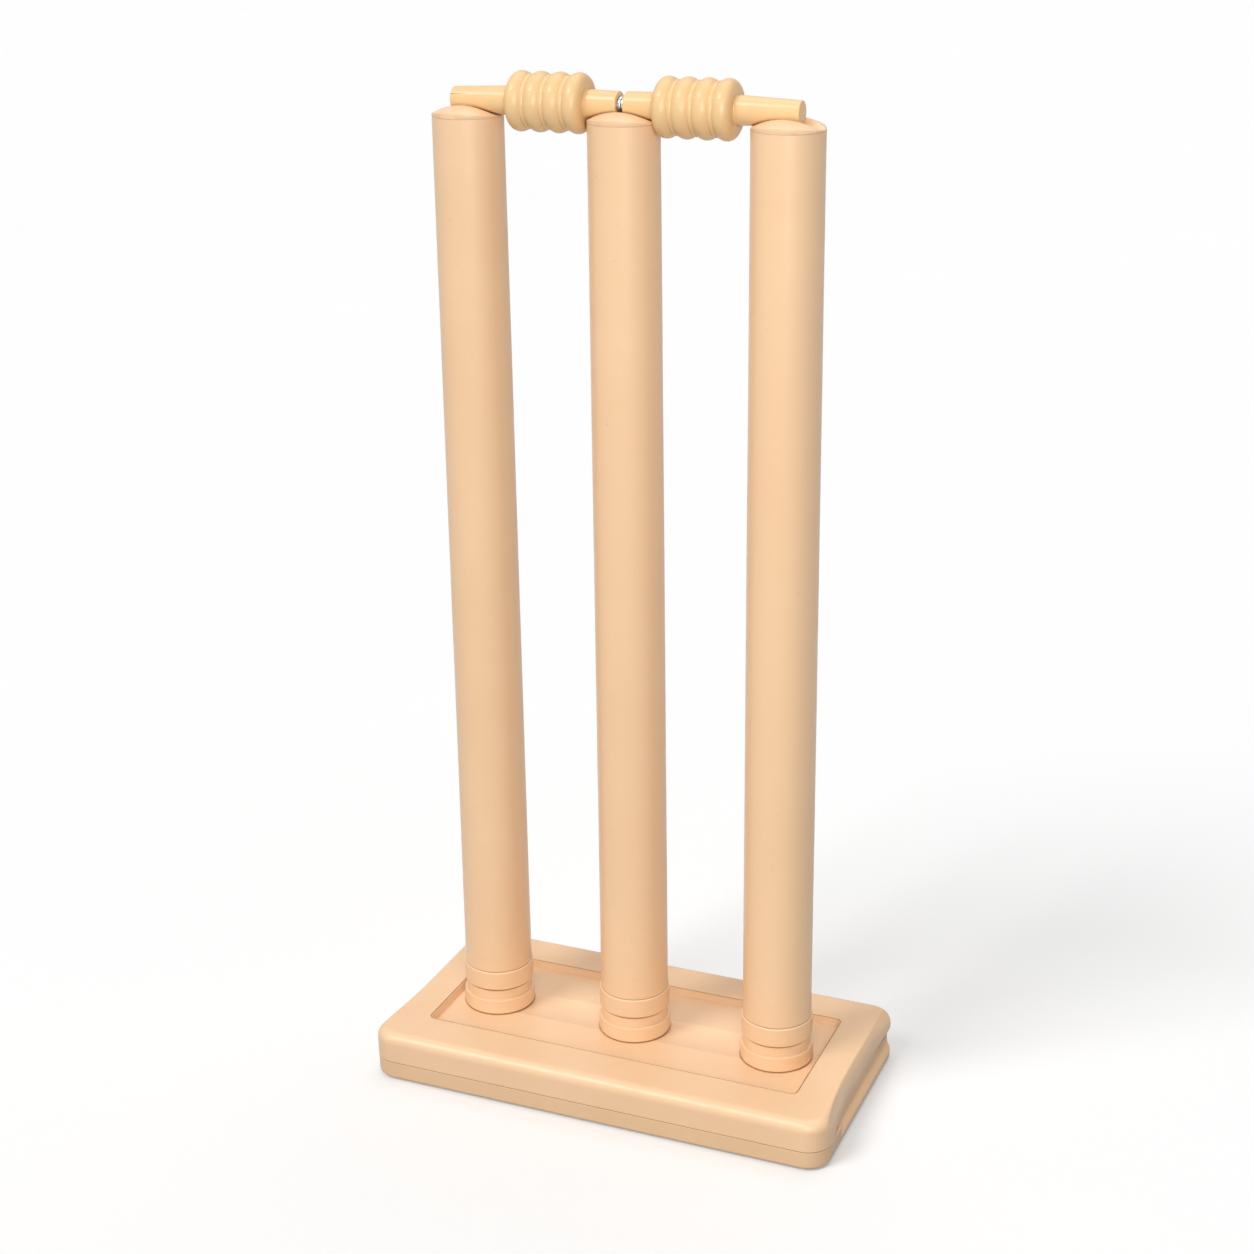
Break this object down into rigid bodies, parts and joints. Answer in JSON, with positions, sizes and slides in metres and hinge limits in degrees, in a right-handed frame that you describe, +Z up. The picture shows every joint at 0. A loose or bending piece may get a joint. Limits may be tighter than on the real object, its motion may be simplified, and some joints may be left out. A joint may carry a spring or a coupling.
{
  "type": "cricket stumps",
  "caption": "Free-standing cricket wicket: hollow plastic stumps plugged into a flat weighted base, with ribbed bails lying in grooves across their domed tops.",
  "frame": {"origin": "on the ground under the middle stump, at the centre of the base", "axes": "+X along the wicket from the left stump to the right one, +Y away from the side that the picture is taken from, +Z up along the stumps"},
  "size_m": [0.298, 0.15, 0.613],
  "materials": {
    "base_plastic": "satin moulded plastic, warm cream",
    "stump_plastic": "satin plastic, warm cream",
    "bail_plastic": "smooth moulded plastic, a little yellower",
    "rod_steel": "bright turned steel",
    "ballast_steel": "plain cut steel plate",
    "screw_steel": "zinc plated",
    "pad_rubber": "matt black rubber"
  },
  "bodies": {
    "base": {"base_cover": "base_plastic", "base_tray": "base_plastic", "ballast_left": "ballast_steel", "ballast_right": "ballast_steel", "tray_screws": "screw_steel", "foot_pad_front_left": "pad_rubber", "foot_pad_front_right": "pad_rubber", "foot_pad_rear_left": "pad_rubber", "foot_pad_rear_right": "pad_rubber"},
    "middle_stump": {"stump_foot_middle": "stump_plastic", "stump_tube_middle": "stump_plastic", "stump_cap_middle": "stump_plastic"},
    "left_stump": {"stump_foot_left": "stump_plastic", "stump_tube_left": "stump_plastic", "stump_cap_left": "stump_plastic"},
    "right_stump": {"stump_foot_right": "stump_plastic", "stump_tube_right": "stump_plastic", "stump_cap_right": "stump_plastic"},
    "left_bail": {"bail_left": "bail_plastic", "bail_rod_left": "rod_steel"},
    "right_bail": {"bail_right": "bail_plastic", "bail_rod_right": "rod_steel"}
  },
  "joints": [
    {"name": "middle_stump_lift", "type": "slide", "parent": "base", "child": "middle_stump", "axis": [0, 0, 1], "range_m": [0, 0.06]},
    {"name": "left_stump_lift", "type": "slide", "parent": "middle_stump", "child": "left_stump", "axis": [0, 0, 1], "range_m": [0, 0.06]},
    {"name": "right_stump_lift", "type": "slide", "parent": "middle_stump", "child": "right_stump", "axis": [0, 0, 1], "range_m": [0, 0.06]},
    {"name": "left_bail_lift", "type": "slide", "parent": "left_stump", "child": "left_bail", "axis": [0, 0, 1], "range_m": [0, 0.06]},
    {"name": "right_bail_lift", "type": "slide", "parent": "right_stump", "child": "right_bail", "axis": [0, 0, 1], "range_m": [0, 0.06]}
  ]
}
